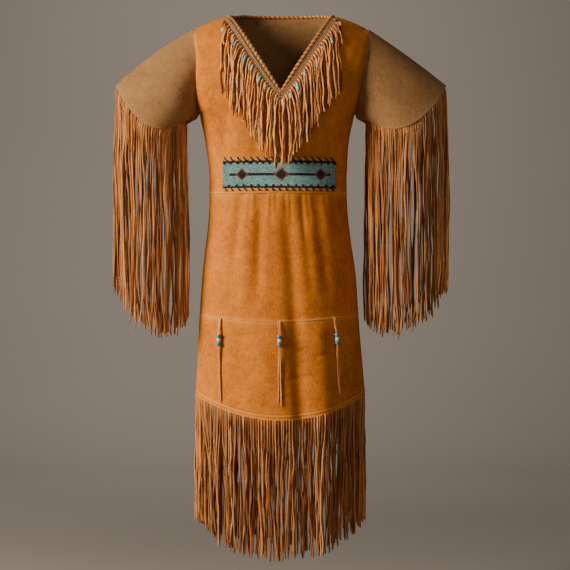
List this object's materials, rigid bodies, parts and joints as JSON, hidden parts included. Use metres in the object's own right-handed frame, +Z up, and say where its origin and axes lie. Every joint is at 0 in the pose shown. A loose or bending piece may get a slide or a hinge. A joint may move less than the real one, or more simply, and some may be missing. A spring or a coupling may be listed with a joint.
{
  "type": "fringed suede dress",
  "caption": "Fringed suede dress with a laced V neck, short wide sleeves, a beaded waist panel and thong ties, filled out as worn.",
  "frame": {"origin": "midway between the two neck points, at the level where the shoulders carry the dress", "axes": "+Z up, -Y out of the front, +X towards the wearer's left"},
  "size_m": [0.7817, 0.3078, 1.2969],
  "materials": {
    "cognac_suede": "sueded grain side, cognac",
    "tan_suede": "flesh side out, dull tan",
    "fringe_suede": "hand cut strands, cognac",
    "lace_leather": "split lace, pale tan",
    "beadwork": "opaque seed beads, turquoise ground",
    "turquoise_bead": "opaque pony beads"
  },
  "bodies": {
    "root": {"bodice_front": "cognac_suede", "bodice_back": "cognac_suede", "skirt_front": "cognac_suede", "skirt_back": "cognac_suede", "skirt_lower_front": "cognac_suede", "skirt_lower_back": "cognac_suede", "sleeve_left": "tan_suede", "sleeve_right": "tan_suede", "sleeve_fringe_left": "fringe_suede", "sleeve_fringe_right": "fringe_suede", "hem_fringe_front": "fringe_suede", "hem_fringe_back": "fringe_suede", "neck_band_left": "tan_suede", "neck_band_right": "tan_suede", "neck_fringe_left": "fringe_suede", "neck_fringe_right": "fringe_suede", "neck_binding": "lace_leather", "bead_panel": "beadwork", "belt_lacing_top": "lace_leather", "belt_lacing_bottom": "lace_leather", "hip_welt": "cognac_suede", "thong_right": "fringe_suede", "thong_middle": "fringe_suede", "thong_left": "fringe_suede", "bead_right_1": "turquoise_bead", "bead_right_2": "turquoise_bead", "bead_middle_1": "turquoise_bead", "bead_middle_2": "turquoise_bead", "bead_left_1": "turquoise_bead", "bead_left_2": "turquoise_bead"}
  },
  "joints": []
}
